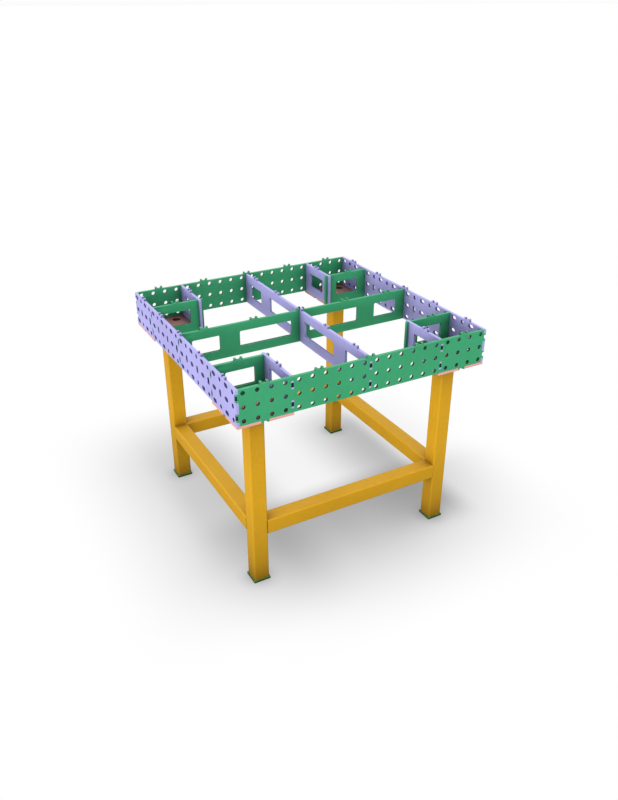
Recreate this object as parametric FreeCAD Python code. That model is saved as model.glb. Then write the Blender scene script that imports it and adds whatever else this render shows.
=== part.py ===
import FreeCAD, Part
import os

# Welding table frame: a welded four-leg stand that carries a slot-and-tab frame of laser-cut plates.
# Origin on the floor under the middle of the table, +X along the front skirt, +Y to the back, +Z up.
# All sizes are in millimetres.

TABLE_SIDE = 1000.0
HALF = TABLE_SIDE / 2
PLATE = 10.0
SEAT_Z = 855.0
SKIRT_HEIGHT = 130.0
SKIRT_Z = SEAT_Z - SKIRT_HEIGHT
INNER = HALF - PLATE

# Fixture holes: three rows on a square grid of one pitch, none of them on the table's centre lines.
HOLE_D = 16.0
PITCH = 50.0
ROW_Z = [740.0, 790.0, 840.0]
MIDDLE_ROW = 1
COLUMNS = [PITCH * (n - 9.5) for n in range(20)]
SLOT_LENGTH = 28.0

# Locating tabs: two teeth with a shallower bridge between them.
TAB_WIDTH = 30.0
TAB_GAP = 16.0
TAB_BRIDGE = 3.0
TOP_TABS = [-400.0, -200.0, 0.0, 200.0, 400.0]
END_TAB_Z = [755.0, 825.0]

# Ribs: one full rib each way through the centre, and a pair of short ones boxing in each corner.
BOX_RIB = 300.0
RIB_POSITIONS = [-BOX_RIB, 0.0, BOX_RIB]
RIB_OVERRUN = PLATE + PLATE / 2
RIB_TIP = BOX_RIB - RIB_OVERRUN
WINDOW_HEIGHT = 60.0
WINDOW_RADIUS = 5.0
WIDE_WINDOW = (40.0, 260.0)
NARROW_WINDOW = (340.0, 450.0)

# Leg frame.
LEG_CENTRE = 400.0
TUBE = 60.0
WALL = 4.0
TUBE_RADIUS = 6.0
LEG_PLATE_INNER = BOX_RIB - PLATE / 2
LEG_PLATE_Z = SKIRT_Z - PLATE
FLANGE_Z = LEG_PLATE_Z - PLATE
FLANGE_SIDE = 150.0
PLUG_HOLE_D = 34.0
PLUG_HOLE_OFFSET = 50.0
FOOT_SIDE = 66.0
STRETCHER_Z = 205.0
STRETCHER_LENGTH = 2 * LEG_CENTRE - TUBE

SIDES = [-1, 1]
X_DIR = FreeCAD.Vector(1, 0, 0)
Y_DIR = FreeCAD.Vector(0, 1, 0)
Z_DIR = FreeCAD.Vector(0, 0, 1)


def block(low, high):
    """A box between two opposite corners."""
    size = [b - a for a, b in zip(low, high)]
    return Part.makeBox(size[0], size[1], size[2], FreeCAD.Vector(*low))


def panel(u0, u1, z0, z1):
    """A piece of plate standing in the XZ plane, its thickness centred on y = 0."""
    return block((u0, -PLATE / 2, z0), (u1, PLATE / 2, z1))


def punch(u0, u1, z0, z1):
    """A cutter for a square-cornered opening, longer than the plate is thick."""
    return block((u0, -PLATE, z0), (u1, PLATE, z1))


def rounded_punch(u0, u1, z0, z1, radius):
    """A cutter for an opening with rounded corners."""
    cutter = punch(u0, u1, z0, z1)
    edges = [e for e in cutter.Edges if abs(e.tangentAt(e.FirstParameter).y) > 0.9]
    return cutter.makeFillet(radius, edges)


def round_punch(u, z):
    """A cutter for one fixture hole."""
    return Part.makeCylinder(HOLE_D / 2, 2 * PLATE, FreeCAD.Vector(u, -PLATE, z), Y_DIR)


def slot_punch(u, z, along_u):
    """A cutter for a fixture slot: two hole ends joined by a straight waist."""
    reach = (SLOT_LENGTH - HOLE_D) / 2
    du = reach if along_u else 0.0
    dz = 0.0 if along_u else reach
    waist_u = du if along_u else HOLE_D / 2
    waist_z = HOLE_D / 2 if along_u else dz
    ends = [round_punch(u - du, z - dz), round_punch(u + du, z + dz)]
    return punch(u - waist_u, u + waist_u, z - waist_z, z + waist_z).multiFuse(ends).removeSplitter()


def level_tab(u, edge_z, up):
    """A tab on a horizontal plate edge, one plate thickness high, pointing up (1) or down (-1)."""
    pieces = []
    for near, far, height in [
        (-TAB_WIDTH / 2, -TAB_GAP / 2, PLATE),
        (-TAB_GAP / 2, TAB_GAP / 2, TAB_BRIDGE),
        (TAB_GAP / 2, TAB_WIDTH / 2, PLATE),
    ]:
        z0, z1 = sorted([edge_z, edge_z + up * height])
        pieces.append(panel(u + near, u + far, z0, z1))
    return pieces


def end_tab(edge_u, z, side):
    """A tab on a vertical plate edge, one plate thickness deep, pointing to +u (1) or -u (-1)."""
    pieces = []
    for low, high, depth in [
        (-TAB_WIDTH / 2, -TAB_GAP / 2, PLATE),
        (-TAB_GAP / 2, TAB_GAP / 2, TAB_BRIDGE),
        (TAB_GAP / 2, TAB_WIDTH / 2, PLATE),
    ]:
        u0, u1 = sorted([edge_u, edge_u + side * depth])
        pieces.append(panel(u0, u1, z + low, z + high))
    return pieces


def window(span):
    """A cutter for a rib window, centred on the middle row of fixture holes."""
    low, high = sorted(span)
    middle = ROW_Z[MIDDLE_ROW]
    return rounded_punch(low, high, middle - WINDOW_HEIGHT / 2, middle + WINDOW_HEIGHT / 2, WINDOW_RADIUS)


def cross_notch(u, from_top):
    """Half of a half-lap joint: a notch one plate wide to the middle of the rib's height."""
    middle = SEAT_Z - SKIRT_HEIGHT / 2
    if from_top:
        return punch(u - PLATE / 2, u + PLATE / 2, middle, SEAT_Z + PLATE)
    return punch(u - PLATE / 2, u + PLATE / 2, SKIRT_Z - PLATE, middle)


def cut_plate(pieces, cutters):
    """Joins the pieces of one plate and cuts its openings."""
    return pieces[0].multiFuse(pieces[1:]).cut(Part.makeCompound(cutters)).removeSplitter()


def rib_slots():
    """Cutters for the slots that hold the ends of the ribs."""
    low, high = -TAB_WIDTH / 2, TAB_WIDTH / 2
    half = PLATE / 2
    return [punch(u - half, u + half, z + low, z + high) for u in RIB_POSITIONS for z in END_TAB_Z]


def skirt_tabs():
    """The tabs along a skirt: five up for the top, two down for the leg plates."""
    tabs = []
    for u in TOP_TABS:
        tabs += level_tab(u, SEAT_Z, 1)
    for side in SIDES:
        tabs += level_tab(side * LEG_CENTRE, SKIRT_Z, -1)
    return tabs


def long_skirt():
    """Front or back skirt: it sits between the side skirts and has round fixture holes only."""
    pieces = [panel(-INNER, INNER, SKIRT_Z, SEAT_Z)] + skirt_tabs()
    for side in SIDES:
        for z in END_TAB_Z:
            pieces += end_tab(side * INNER, z, side)
    cutters = rib_slots() + [round_punch(u, z) for u in COLUMNS for z in ROW_Z]
    return cut_plate(pieces, cutters)


def side_skirt():
    """Left or right skirt: full length, notched at both ends, with slots among its fixture holes."""
    pieces = [panel(-HALF, HALF, SKIRT_Z, SEAT_Z)] + skirt_tabs()
    cutters = rib_slots()
    for side in SIDES:
        u0, u1 = sorted([side * INNER, side * (HALF + PLATE)])
        cutters += [punch(u0, u1, z - TAB_WIDTH / 2, z + TAB_WIDTH / 2) for z in END_TAB_Z]
    for index, u in enumerate(COLUMNS):
        slotted = index % 2 == 1
        for row, z in enumerate(ROW_Z):
            if slotted:
                cutters.append(slot_punch(u, z, along_u=True))
            elif row == MIDDLE_ROW and index > 0:
                cutters.append(slot_punch(u, z, along_u=False))
            else:
                cutters.append(round_punch(u, z))
    return cut_plate(pieces, cutters)


def centre_rib(notch_from_top):
    """Full rib between two opposite skirts, with two windows each side of the centre crossing."""
    pieces = [panel(-INNER, INNER, SKIRT_Z, SEAT_Z)]
    for u in TOP_TABS:
        pieces += level_tab(u, SEAT_Z, 1)
    cutters = [cross_notch(0.0, notch_from_top), punch(-PLATE / 2, PLATE / 2, SEAT_Z, SEAT_Z + PLATE)]
    for side in SIDES:
        for z in END_TAB_Z:
            pieces += end_tab(side * INNER, z, side)
        for near, far in [WIDE_WINDOW, NARROW_WINDOW]:
            cutters.append(window((side * near, side * far)))
    return cut_plate(pieces, cutters)


def corner_rib(side, notch_from_top):
    """Short rib from a skirt at side * INNER to just past its crossing with the other corner rib."""
    u0, u1 = sorted([side * RIB_TIP, side * INNER])
    pieces = [panel(u0, u1, SKIRT_Z, SEAT_Z)]
    pieces += level_tab(side * LEG_CENTRE, SEAT_Z, 1)
    pieces += level_tab(side * LEG_CENTRE, SKIRT_Z, -1)
    for z in END_TAB_Z:
        pieces += end_tab(side * INNER, z, side)
    near, far = NARROW_WINDOW
    cutters = [cross_notch(side * BOX_RIB, notch_from_top), window((side * near, side * far))]
    return cut_plate(pieces, cutters)


def along_x(plate, y):
    """Places a plate drawn in the XZ plane at the given y."""
    return plate.translated(FreeCAD.Vector(0, y, 0))


def along_y(plate, x):
    """Turns a plate drawn in the XZ plane to run along Y and places it at the given x."""
    turned = plate.copy()
    turned.rotate(FreeCAD.Vector(0, 0, 0), Z_DIR, 90)
    turned.translate(FreeCAD.Vector(x, 0, 0))
    return turned


def leg_plate(sx, sy):
    """Square plate closing the underside of one corner box, notched for the tabs around it.
    Four holes let plug welds join it to the flange below."""
    u0, u1 = sorted([sx * LEG_PLATE_INNER, sx * HALF])
    v0, v1 = sorted([sy * LEG_PLATE_INNER, sy * HALF])
    plate = block((u0, v0, LEG_PLATE_Z), (u1, v1, SKIRT_Z))
    cutters = []
    for near, far in [(LEG_PLATE_INNER, LEG_PLATE_INNER + PLATE), (INNER, HALF)]:
        n0, n1 = sorted([sy * near, sy * far])
        m0, m1 = sorted([sx * near, sx * far])
        tab_x0, tab_y0 = sx * LEG_CENTRE - TAB_WIDTH / 2, sy * LEG_CENTRE - TAB_WIDTH / 2
        cutters.append(block((tab_x0, n0, LEG_PLATE_Z), (tab_x0 + TAB_WIDTH, n1, SKIRT_Z)))
        cutters.append(block((m0, tab_y0, LEG_PLATE_Z), (m1, tab_y0 + TAB_WIDTH, SKIRT_Z)))
    for du in SIDES:
        for dv in SIDES:
            x = sx * LEG_CENTRE + du * PLUG_HOLE_OFFSET
            y = sy * LEG_CENTRE + dv * PLUG_HOLE_OFFSET
            cutters.append(Part.makeCylinder(PLUG_HOLE_D / 2, PLATE, FreeCAD.Vector(x, y, LEG_PLATE_Z)))
    return plate.cut(Part.makeCompound(cutters)).removeSplitter()


def square_tube(length):
    """Square hollow section standing on the origin, with rounded outer and inner corners."""
    half = TUBE / 2
    outer = block((-half, -half, 0), (half, half, length))
    inner = block((WALL - half, WALL - half, 0), (half - WALL, half - WALL, length))
    outer = outer.makeFillet(TUBE_RADIUS, upright_edges(outer))
    inner = inner.makeFillet(TUBE_RADIUS - WALL, upright_edges(inner))
    return outer.cut(inner)


def upright_edges(solid):
    """The four vertical edges of a box."""
    return [e for e in solid.Edges if abs(e.tangentAt(e.FirstParameter).z) > 0.9]


def leg(sx, sy):
    """Leg tube from its foot plate up to its flange."""
    tube = square_tube(FLANGE_Z - PLATE)
    return tube.translated(FreeCAD.Vector(sx * LEG_CENTRE, sy * LEG_CENTRE, PLATE))


def stretcher(along, side):
    """Tube between two legs, in line with their outer faces."""
    tube = square_tube(STRETCHER_LENGTH)
    tube.translate(FreeCAD.Vector(0, 0, -STRETCHER_LENGTH / 2))
    across = side * LEG_CENTRE
    if along == "x":
        tube.rotate(FreeCAD.Vector(0, 0, 0), Y_DIR, 90)
        offset = FreeCAD.Vector(0, across, STRETCHER_Z + TUBE / 2)
    else:
        tube.rotate(FreeCAD.Vector(0, 0, 0), X_DIR, 90)
        offset = FreeCAD.Vector(across, 0, STRETCHER_Z + TUBE / 2)
    return tube.translated(offset)


def leg_square(sx, sy, side, z):
    """A square of plate centred on one leg, its underside at z."""
    x, y, half = sx * LEG_CENTRE, sy * LEG_CENTRE, side / 2
    return block((x - half, y - half, z), (x + half, y + half, z + PLATE))


def build():
    """Every node of the table by name."""
    edge = HALF - PLATE / 2
    nodes = {
        "skirt_front": along_x(long_skirt(), -edge),
        "skirt_back": along_x(long_skirt(), edge),
        "skirt_left": along_y(side_skirt(), -edge),
        "skirt_right": along_y(side_skirt(), edge),
        "centre_rib_x": along_x(centre_rib(notch_from_top=True), 0.0),
        "centre_rib_y": along_y(centre_rib(notch_from_top=False), 0.0),
    }
    for sy, row in zip(SIDES, ["front", "back"]):
        for sx, column in zip(SIDES, ["left", "right"]):
            corner = row + "_" + column
            nodes["corner_rib_x_" + corner] = along_x(corner_rib(sx, notch_from_top=True), sy * BOX_RIB)
            nodes["corner_rib_y_" + corner] = along_y(corner_rib(sy, notch_from_top=False), sx * BOX_RIB)
            nodes["leg_plate_" + corner] = leg_plate(sx, sy)
            nodes["leg_" + corner] = leg(sx, sy)
            nodes["leg_flange_" + corner] = leg_square(sx, sy, FLANGE_SIDE, FLANGE_Z)
            nodes["foot_plate_" + corner] = leg_square(sx, sy, FOOT_SIDE, 0)
    for side, row, column in zip(SIDES, ["front", "back"], ["left", "right"]):
        nodes["stretcher_" + row] = stretcher("x", side)
        nodes["stretcher_" + column] = stretcher("y", side)
    return nodes


os.makedirs("parts", exist_ok=True)
for name, shape in build().items():
    print(name, len(shape.Solids), shape.isValid(), round(shape.Volume / 1000, 1), "cm3")
    shape.exportStep(os.path.join("parts", name + ".step"))
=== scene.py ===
import math

import bpy
from mathutils import Matrix, Vector


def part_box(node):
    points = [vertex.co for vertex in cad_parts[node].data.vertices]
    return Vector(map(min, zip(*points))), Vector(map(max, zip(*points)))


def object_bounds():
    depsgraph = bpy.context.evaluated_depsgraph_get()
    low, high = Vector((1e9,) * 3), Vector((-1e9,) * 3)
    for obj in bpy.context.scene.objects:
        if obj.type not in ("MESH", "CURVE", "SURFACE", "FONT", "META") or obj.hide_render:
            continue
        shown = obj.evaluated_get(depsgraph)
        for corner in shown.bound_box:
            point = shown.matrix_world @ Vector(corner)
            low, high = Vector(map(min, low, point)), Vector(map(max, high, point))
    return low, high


# Looks of the welding table: coated laser-cut plates and tubes, soft studio light, and the camera.
# All lengths are in metres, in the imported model's own frame.

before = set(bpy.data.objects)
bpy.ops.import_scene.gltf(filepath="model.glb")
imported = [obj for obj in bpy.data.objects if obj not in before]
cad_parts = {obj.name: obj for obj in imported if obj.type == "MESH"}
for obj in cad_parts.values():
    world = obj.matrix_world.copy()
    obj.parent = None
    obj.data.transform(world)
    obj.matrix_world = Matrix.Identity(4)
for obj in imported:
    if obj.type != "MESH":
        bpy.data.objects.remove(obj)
cad_low, cad_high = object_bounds()

X, Y, Z = 0, 1, 2
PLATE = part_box("skirt_front")[1].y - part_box("skirt_front")[0].y
SEAT = cad_high.z - PLATE

# Linear colours of each coating.
GREEN = (0.050, 0.390, 0.175)
LAVENDER = (0.450, 0.430, 0.835)
SALMON = (0.860, 0.430, 0.390)
YELLOW = (0.690, 0.365, 0.012)
DARK_GREEN = (0.170, 0.420, 0.030)
BARE_STEEL = (0.42, 0.41, 0.40, 1.0)

# The same coatings in painted shade, used in holes, tight corners, corner boxes and on window sills.
SHADED_GREEN = (0.004, 0.055, 0.020)
SHADED_LAVENDER = (0.036, 0.032, 0.150)
SHADED_SALMON = (0.034, 0.010, 0.009)
SHADED_YELLOW = (0.160, 0.065, 0.002)
SHADED_DARK_GREEN = (0.004, 0.040, 0.015)

# How near the walls of a hole or corner, and those of a corner box, have to be for the coat to take
# painted shade.
NOOK_REACH = 0.09
BOX_REACH = 0.20

# Height up to which the legs take painted shade near the floor, depth of the coat's relief, and width of
# a rounded arris.
FOOT_SHADE_HEIGHT = 0.35
RELIEF = 0.0002
ARRIS = 0.0006

# Each sun's direction as seen from the table, its apparent size in degrees and its strength.
KEY_SUN = ((-0.90, -0.42, 0.04), 16.0, 1.34)
OVERHEAD_SUN = ((-0.10, -0.20, 1.0), 50.0, 0.65)

# The world's light far below the floor, and from the horizon up. Between them it rises evenly.
WORLD_BELOW = 0.40
WORLD_ABOVE = 1.0
WORLD_RISE_FROM = -0.15

# The camera stands at head height off the front left corner, level from side to side.
CAMERA_PLACE = (-1.2997, -2.4036, 1.9233)
CAMERA_FORWARD = (0.42876, 0.77008, -0.47238)
CAMERA_RIGHT = (0.87374, -0.48639, 0.0)
SENSOR_MM = 36.0
LENS_MM = 33.88


# ---------------------------------------------------------------- material nodes

class Nodes:
    """Short-hand for building one material's node tree. place and normal hold the point's X, Y
    and Z and those of its outward direction."""

    def __init__(self, name):
        self.material = bpy.data.materials.new(name)
        self.material.use_nodes = True
        self.tree = self.material.node_tree
        self.tree.nodes.clear()
        self.position = self.add("TexCoord").outputs["Object"]
        self.place = self.split(self.position)
        self.normal = self.split(self.add("NewGeometry").outputs["Normal"])

    def add(self, kind, **settings):
        node = self.tree.nodes.new("ShaderNode" + kind)
        for key, value in settings.items():
            setattr(node, key, value)
        return node

    def feed(self, socket, source):
        """Links a socket, or sets its constant."""
        if isinstance(source, bpy.types.NodeSocket):
            self.tree.links.new(source, socket)
        else:
            socket.default_value = source

    def split(self, vector):
        """The three parts of a vector."""
        node = self.add("SeparateXYZ")
        self.feed(node.inputs[0], vector)
        return node.outputs

    def math(self, operation, a, b=0.0):
        node = self.add("Math", operation=operation)
        self.feed(node.inputs[0], a)
        self.feed(node.inputs[1], b)
        return node.outputs[0]

    def product(self, a, b):
        return self.math("MULTIPLY", a, b)

    def pile(self, a, b):
        """Two layers of cover, one over the other."""
        return self.math("SUBTRACT", self.math("ADD", a, b), self.product(a, b))

    def span(self, value, low, high, to_low=0.0, to_high=1.0, ramp="LINEAR"):
        """Maps a value from one range to another, clamped."""
        node = self.add("MapRange", clamp=True, interpolation_type=ramp)
        self.feed(node.inputs["Value"], value)
        node.inputs["From Min"].default_value = low
        node.inputs["From Max"].default_value = high
        node.inputs["To Min"].default_value = to_low
        node.inputs["To Max"].default_value = to_high
        return node.outputs["Result"]

    def noise(self, vector, scale, detail, roughness):
        node = self.add("TexNoise")
        self.feed(node.inputs["Vector"], vector)
        node.inputs["Scale"].default_value = scale
        node.inputs["Detail"].default_value = detail
        node.inputs["Roughness"].default_value = roughness
        return node.outputs["Fac"]

    def stretched(self, axis, along, across):
        """The position scaled by along on one axis and by across on the other two."""
        node = self.add("VectorMath", operation="MULTIPLY")
        self.feed(node.inputs[0], self.position)
        self.feed(node.inputs[1], [along if i == axis else across for i in range(3)])
        return node.outputs["Vector"]

    def open_share(self, reach, samples=8):
        """How much of its surroundings within a reach a point looks out on: 1 in the open."""
        node = self.add("AmbientOcclusion", samples=samples)
        node.inputs["Distance"].default_value = reach
        return node.outputs["AO"]

    def mix(self, factor, a, b):
        """Mixes two colours."""
        node = self.add("Mix", data_type="RGBA")
        self.feed(node.inputs["Factor"], factor)
        self.feed(node.inputs[6], a)
        self.feed(node.inputs[7], b)
        return node.outputs[2]

    def bump(self, height, strength):
        """The direction of a surface roughened by a height pattern."""
        node = self.add("Bump")
        node.inputs["Strength"].default_value = strength
        node.inputs["Distance"].default_value = RELIEF
        self.feed(node.inputs["Height"], height)
        return node.outputs["Normal"]

    def finished(self, shader):
        """The material, once its shader is set."""
        out = self.add("OutputMaterial")
        self.feed(out.inputs["Surface"], shader.outputs[0])
        return self.material


def shade(colour, factor):
    """A colour made lighter or darker, with full alpha."""
    return (*[min(1.0, c * factor) for c in colour], 1.0)


def tint(colour, target, share):
    """A colour moved part of the way to another, with full alpha."""
    return (*[a + (b - a) * share for a, b in zip(colour, target)], 1.0)


# ---------------------------------------------------------------- coatings

def painted_shade_cover(n, edge, nook_shade, box_shade):
    """Painted shade in holes and slots, in tight corners and corner boxes, and on the window sills under
    the bars.
    edge is where the cut edges are, or None on a tube."""
    # Painted shade: the coat darkens where little of its surroundings is in view.
    seen = n.open_share(NOOK_REACH)
    cover = n.span(seen, 0.30, 0.92, nook_shade, 0.0)
    if box_shade:
        cover = n.pile(cover, n.span(n.open_share(BOX_REACH), 0.50, 0.85, box_shade, 0.0))
    if edge is not None:
        # Painted shade on the cut walls of holes, and on upward cut edges below the seat, the sills under
        # the bars.
        hole = n.product(edge, n.span(seen, 0.60, 0.92, 0.98, 0.0))
        upward = n.product(edge, n.span(n.normal[Z], 0.6, 0.9))
        sill = n.product(upward, n.span(n.place[Z], SEAT - 0.005, SEAT - 0.001, 0.65, 0.0))
        cover = n.math("MAXIMUM", n.math("MAXIMUM", cover, hole), sill)
    return cover


def painted_foot_shade(n, base, colour, tone):
    """Painted shade that darkens the lowest part of the legs toward the floor, in patches."""
    foot_darkening = n.span(n.place[Z], 0.0, FOOT_SHADE_HEIGHT, 0.42, 0.0)
    patchy = n.product(foot_darkening, n.span(tone, 0.3, 0.7, 0.85, 1.15))
    return n.mix(patchy, base, shade(colour, 0.2))


def coating(name, colour, dark, axis, cut_edges, nook_shade=0.80, box_shade=0.0):
    """Coated steel. axis is a plate's thickness or a tube's length: a plate shows the beam's
    striations across its cut edges, and a tube shows faint drawing marks along it. nook_shade is
    how deep the painted shade lies in tight corners, and box_shade how deep in larger ones."""
    n = Nodes(name)

    # Cloudy variation of the coat's thickness, with a finer mottle, and the orange peel of its spray.
    cloud = n.noise(n.position, 4.0, 4.0, 0.55)
    mottle = n.noise(n.position, 60.0, 3.0, 0.6)
    tone = n.math("ADD", n.product(cloud, 0.7), n.product(mottle, 0.3))
    base = n.mix(n.span(tone, 0.35, 0.65), shade(colour, 0.93), shade(colour, 1.07))
    peel = n.product(n.noise(n.position, 420.0, 2.0, 0.4), 0.25)

    # Striations on cut edges, or drawing marks along a tube.
    streaks = n.noise(n.stretched(axis, 6.0, 900.0), 1.0, 2.0, 0.6)
    if cut_edges:
        edge = n.span(n.math("ABSOLUTE", n.normal[axis]), 0.75, 0.25)
        height = n.math("ADD", peel, n.product(edge, n.product(streaks, 1.2)))
        base = n.mix(n.product(edge, n.span(streaks, 0.35, 0.7, 0.0, 0.35)), base, shade(colour, 0.82))
    else:
        edge = None
        height = n.math("ADD", peel, n.product(streaks, 0.25))

    # A film of dust on upward faces, and small scuffs where the coat is burnished.
    dust = n.product(n.span(n.normal[Z], 0.6, 1.0), n.span(cloud, 0.40, 0.62, 0.0, 0.012))
    base = n.mix(dust, base, tint(colour, (0.9, 0.9, 0.88), 0.8))
    scuff = n.span(n.noise(n.stretched(axis, 14.0, 55.0), 1.0, 6.0, 0.7), 0.60, 0.72)
    base = n.mix(n.product(scuff, 0.18), base, tint(colour, (0.8, 0.8, 0.8), 0.25))

    # Painted shade: the coat darkens toward its shade tone in holes, corners, corner boxes and on sills.
    base = n.mix(painted_shade_cover(n, edge, nook_shade, box_shade), base, (*dark, 1.0))
    # Painted shade on the legs, darker toward the floor, in patches.
    base = painted_foot_shade(n, base, colour, tone)
    rough = n.math("SUBTRACT", n.span(tone, 0.3, 0.7, 0.46, 0.58), n.product(scuff, 0.10))

    shader = n.add("BsdfPrincipled")
    shader.inputs["Metallic"].default_value = 0.0
    shader.inputs["Specular IOR Level"].default_value = 0.18
    n.feed(shader.inputs["Base Color"], base)
    n.feed(shader.inputs["Roughness"], rough)
    n.feed(shader.inputs["Normal"], n.bump(height, 0.35))
    return n.finished(shader)


def worn_edge(name, colour, dark):
    """The rounded arris of a coated part: the coat thins there, in places the steel shows, and
    round holes it takes the same painted shade as the walls."""
    n = Nodes(name)
    patches = n.noise(n.position, 16.0, 6.0, 0.65)
    nicks = n.noise(n.position, 170.0, 4.0, 0.7)
    bare = n.product(n.span(patches, 0.50, 0.62), n.span(nicks, 0.46, 0.56))
    thin = tint(colour, (0.95, 0.95, 0.95), 0.22)
    base = n.mix(n.span(patches, 0.3, 0.7), shade(colour, 1.04), thin)
    base = n.mix(n.product(bare, 0.8), base, BARE_STEEL)
    # Painted shade: the arris darkens toward the shade tone where little of its surroundings is in view.
    base = n.mix(n.span(n.open_share(NOOK_REACH), 0.55, 0.88, 0.90, 0.0), base, (*dark, 1.0))

    shader = n.add("BsdfPrincipled")
    n.feed(shader.inputs["Base Color"], base)
    n.feed(shader.inputs["Metallic"], n.product(bare, 0.7))
    n.feed(shader.inputs["Roughness"], n.span(nicks, 0.3, 0.7, 0.50, 0.34))
    n.feed(shader.inputs["Normal"], n.bump(nicks, 0.4))
    return n.finished(shader)


def make_coats():
    """Every coat by its name, each with the worn finish that its arrises take."""
    green = worn_edge("green_arris", GREEN, SHADED_GREEN)
    lavender = worn_edge("lavender_arris", LAVENDER, SHADED_LAVENDER)
    salmon = worn_edge("salmon_arris", SALMON, SHADED_SALMON)
    yellow = worn_edge("yellow_arris", YELLOW, SHADED_YELLOW)
    dark_green = worn_edge("dark_green_arris", DARK_GREEN, SHADED_DARK_GREEN)
    # The nook and box amounts set how deep each coat's painted shade lies in tight corners and in corner
    # boxes.
    coats = {
        "green": (coating("green_plate", GREEN, SHADED_GREEN, Y, True), green),
        "lavender": (
            coating("lavender_plate", LAVENDER, SHADED_LAVENDER, X, True, nook_shade=0.58, box_shade=0.15),
            lavender,
        ),
        "salmon": (coating("salmon_plate", SALMON, SHADED_SALMON, Z, True, box_shade=0.72), salmon),
        "dark_green": (coating("dark_green_plate", DARK_GREEN, SHADED_DARK_GREEN, Z, True), dark_green),
        "flange": (coating("yellow_plate", YELLOW, SHADED_SALMON, Z, True, box_shade=0.95), yellow),
    }
    for axis, letter in enumerate("xyz"):
        tube = coating("yellow_tube_" + letter, YELLOW, SHADED_YELLOW, axis, False, box_shade=0.40)
        coats["tube_" + letter] = (tube, yellow)
    return coats


def coat_of(name):
    """The name of the coat that a node wears."""
    if name.startswith("leg_plate"):
        return "salmon"
    if name.startswith("leg_flange"):
        return "flange"
    if name.startswith("foot_plate"):
        return "dark_green"
    if name.startswith("leg"):
        return "tube_z"
    if name in ("stretcher_front", "stretcher_back"):
        return "tube_x"
    if name.startswith("stretcher"):
        return "tube_y"
    if name in ("skirt_front", "skirt_back") or "rib_x" in name:
        return "green"
    return "lavender"


def finish_node(node, coat, worn):
    """Gives one CAD node its coat and rounds its sharp arrises, which take the worn finish. The flat
    faces are made whole first, so that the rounding runs clean along every outline."""
    node.data.materials.clear()
    node.data.materials.append(coat)
    node.data.materials.append(worn)
    weld = node.modifiers.new("weld", "WELD")
    weld.merge_threshold = 1e-5
    flat = node.modifiers.new("flat", "DECIMATE")
    flat.decimate_type = "DISSOLVE"
    flat.angle_limit = math.radians(0.5)
    bevel = node.modifiers.new("arris", "BEVEL")
    bevel.width = ARRIS
    bevel.segments = 2
    bevel.limit_method = "ANGLE"
    bevel.angle_limit = math.radians(40)
    bevel.material = 1
    bevel.use_clamp_overlap = False
    normals = node.modifiers.new("normals", "WEIGHTED_NORMAL")
    normals.keep_sharp = False
    normals.weight = 100


def finish_nodes():
    """Coats every node."""
    coats = make_coats()
    for name in sorted(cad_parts):
        coat, worn = coats[coat_of(name)]
        finish_node(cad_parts[name], coat, worn)


# ---------------------------------------------------------------- floor

def make_plane(name, side, height, material):
    """A square of studio floor at a height, reaching a side's length each way."""
    mesh = bpy.data.meshes.new(name)
    mesh.from_pydata(
        [(-side, -side, height), (side, -side, height), (side, side, height), (-side, side, height)],
        [], [(0, 1, 2, 3)],
    )
    mesh.materials.append(material)
    plane = bpy.data.objects.new(name, mesh)
    bpy.context.scene.collection.objects.link(plane)
    return plane


def shade_band(n, across, along, middle, widths, run, ends, depth):
    """One soft band of painted shade: its middle line, the widths it fades over on both sides of it, the
    run it keeps its depth for, and how far it fades beyond the ends of that run."""
    rise = n.span(across, middle - widths[0], middle, 0.0, 1.0, "SMOOTHSTEP")
    fall = n.span(across, middle, middle + widths[1], 1.0, 0.0, "SMOOTHSTEP")
    start = n.span(along, run[0] - ends[0], run[0], 0.0, 1.0, "SMOOTHSTEP")
    end = n.span(along, run[1], run[1] + ends[1], 1.0, 0.0, "SMOOTHSTEP")
    return n.product(n.product(n.product(rise, fall), n.product(start, end)), depth)


def frame_shade(n):
    """How deep the shade painted on the floor is: a soft band along each stretcher, and a deeper
    shade close to each foot."""
    x, y = n.place[X], n.place[Y]
    cover = n.span(n.open_share(0.06, samples=16), 0.30, 1.0, 0.40, 0.0)
    for band in [
        shade_band(n, y, x, -0.15, widths=(0.79, 0.20), run=(0.06, 0.10), ends=(0.71, 0.99), depth=0.55),
        shade_band(n, y, x, 0.20, widths=(0.85, 0.80), run=(-0.43, 0.63), ends=(0.15, 0.38), depth=0.10),
        shade_band(n, x, y, -0.26, widths=(0.71, 0.26), run=(-0.23, 0.46), ends=(0.54, 0.66), depth=0.36),
        shade_band(n, x, y, 0.49, widths=(0.39, 0.15), run=(-0.32, 0.37), ends=(0.22, 0.35), depth=0.43),
    ]:
        cover = n.pile(cover, band)
    return cover


def paper():
    """White studio paper that glows evenly, with the frame's shade painted onto it."""
    n = Nodes("paper")
    shader = n.add("Emission")
    n.feed(shader.inputs["Color"], n.mix(frame_shade(n), (1.0, 1.0, 1.0, 1.0), (0.0, 0.0, 0.0, 1.0)))
    return n.finished(shader)


def dull_grey():
    """Matt grey that keeps the light under the table low."""
    n = Nodes("dull_grey")
    shader = n.add("BsdfDiffuse")
    shader.inputs["Color"].default_value = (0.22, 0.22, 0.22, 1.0)
    return n.finished(shader)


def make_floor():
    """A pale floor with painted shade that throws no light back up, over a dull mat that shades the feet.
    """
    floor = make_plane("floor", 200.0, 0.0, paper())
    floor.visible_diffuse = False
    floor.visible_glossy = False
    floor.visible_shadow = False
    mat = make_plane("shade_mat", 0.9, -0.001, dull_grey())
    mat.visible_camera = False


# ---------------------------------------------------------------- light and camera

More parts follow.
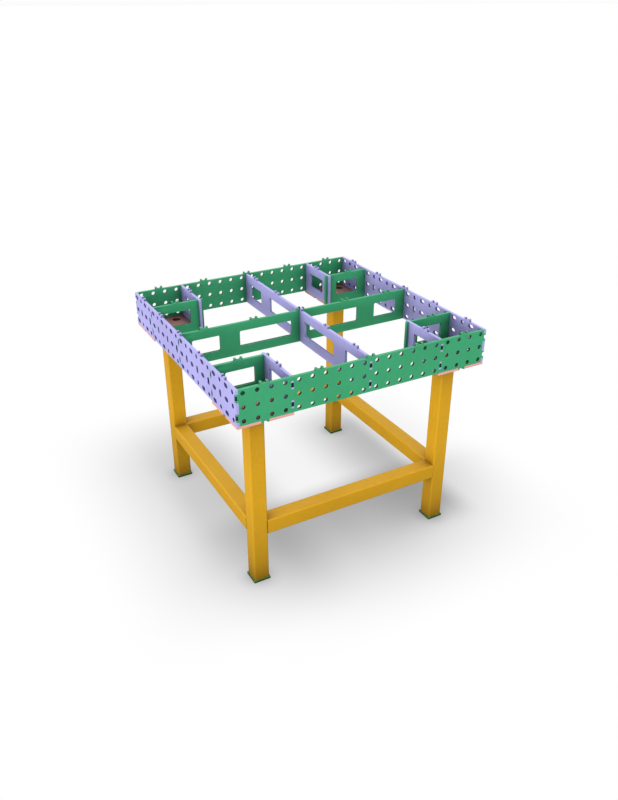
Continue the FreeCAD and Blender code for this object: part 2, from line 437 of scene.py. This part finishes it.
def make_world():
    """Even white surroundings that dim below the floor."""
    world = bpy.data.worlds.new("studio")
    world.use_nodes = True
    tree = world.node_tree
    place = tree.nodes.new("ShaderNodeTexCoord")
    split = tree.nodes.new("ShaderNodeSeparateXYZ")
    level = tree.nodes.new("ShaderNodeMapRange")
    level.inputs["From Min"].default_value = WORLD_RISE_FROM
    level.inputs["From Max"].default_value = 0.0
    level.inputs["To Min"].default_value = WORLD_BELOW
    level.inputs["To Max"].default_value = WORLD_ABOVE
    tree.links.new(place.outputs["Generated"], split.inputs[0])
    tree.links.new(split.outputs["Z"], level.inputs["Value"])
    tree.links.new(level.outputs["Result"], tree.nodes["Background"].inputs["Color"])
    bpy.context.scene.world = world


def make_sun(name, direction, spread, strength):
    """A distant soft light that comes from a direction."""
    data = bpy.data.lights.new(name, "SUN")
    data.angle = math.radians(spread)
    data.energy = strength
    lamp = bpy.data.objects.new(name, data)
    bpy.context.scene.collection.objects.link(lamp)
    lamp.rotation_euler = Vector(direction).to_track_quat("Z", "Y").to_euler()
    return lamp


def make_suns():
    """A level key light from the front left, which only the plates on top shade, and a soft light
    overhead."""
    key = make_sun("key", *KEY_SUN)
    blockers = bpy.data.collections.new("key_shades")
    for name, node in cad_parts.items():
        if not any(word in name for word in ("leg", "stretcher", "foot")):
            blockers.objects.link(node)
    key.light_linking.blocker_collection = blockers
    make_sun("overhead", *OVERHEAD_SUN)


def make_camera():
    """The camera, turned to look along its forward direction."""
    data = bpy.data.cameras.new("camera")
    data.sensor_width = SENSOR_MM
    data.lens = LENS_MM
    camera = bpy.data.objects.new("camera", data)
    bpy.context.scene.collection.objects.link(camera)
    forward = Vector(CAMERA_FORWARD).normalized()
    right = Vector(CAMERA_RIGHT).normalized()
    up = right.cross(forward)
    turn = Matrix((right, up, -forward)).transposed().to_4x4()
    camera.matrix_world = Matrix.Translation(CAMERA_PLACE) @ turn
    bpy.context.scene.camera = camera


finish_nodes()
make_floor()
make_world()
make_suns()
make_camera()
bpy.context.scene.view_settings.view_transform = "Standard"
